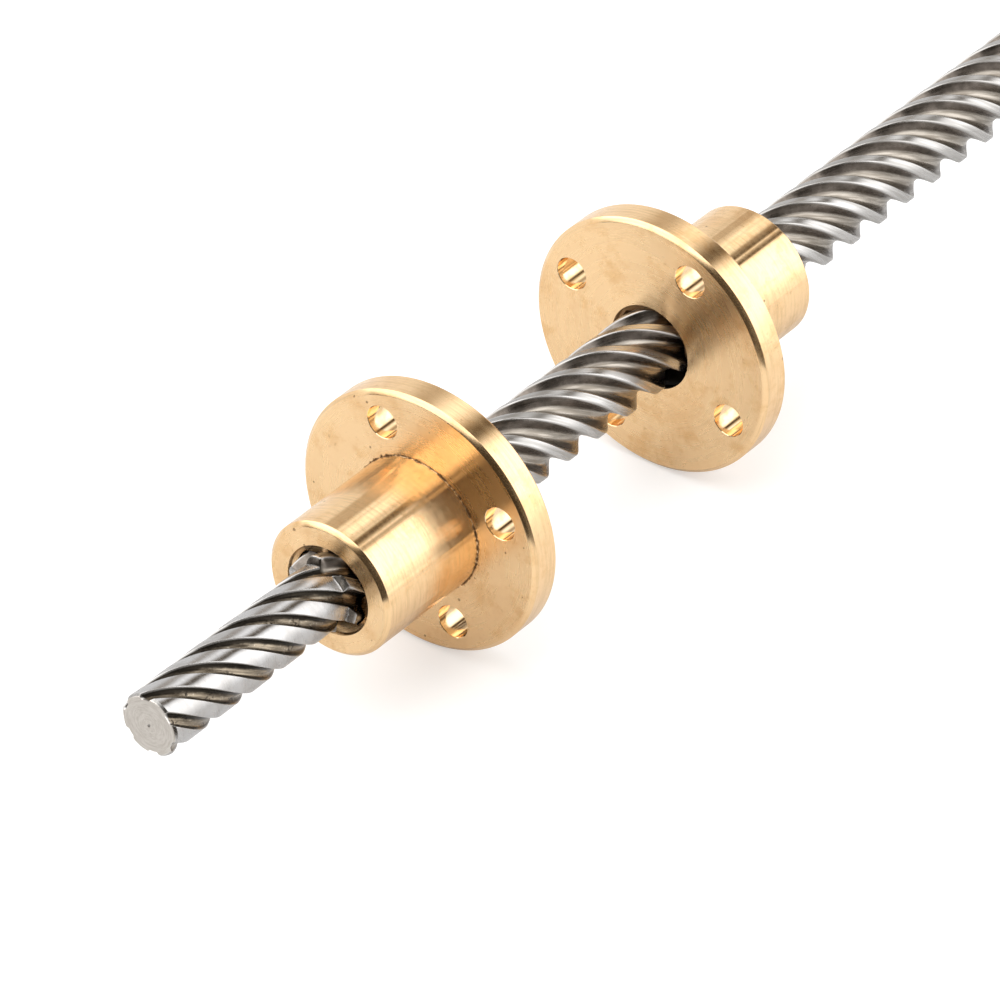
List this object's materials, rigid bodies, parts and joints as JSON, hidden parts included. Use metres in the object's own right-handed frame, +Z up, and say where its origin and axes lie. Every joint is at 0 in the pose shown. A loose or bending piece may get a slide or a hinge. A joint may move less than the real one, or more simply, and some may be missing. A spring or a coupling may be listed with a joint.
{
  "type": "lead screw with flanged nuts",
  "caption": "Steel multi-start lead screw with a turned-down end, carrying two flanged brass nuts that face each other.",
  "frame": {"origin": "centre of the turned-down end face, on the screw's axis", "axes": "+X along the screw from its turned-down end to its far end, +Z up with the screw lying on the rims of its nuts' flanges, +Y across"},
  "size_m": [0.15, 0.0274, 0.0274],
  "materials": {
    "screw_steel": "satin turned lands with dark oily grooves",
    "nut_brass": "satin turned"
  },
  "bodies": {
    "screw": {"lead_screw": "screw_steel"},
    "front_nut": {"front_nut": "nut_brass"},
    "rear_nut": {"rear_nut": "nut_brass"}
  },
  "joints": [
    {"name": "front_nut_travel", "type": "slide", "parent": "screw", "child": "front_nut", "axis": [1, 0, 0], "range_m": [-0.0275, 0.0275]},
    {"name": "rear_nut_travel", "type": "slide", "parent": "screw", "child": "rear_nut", "axis": [1, 0, 0], "range_m": [0, 0.055]}
  ]
}
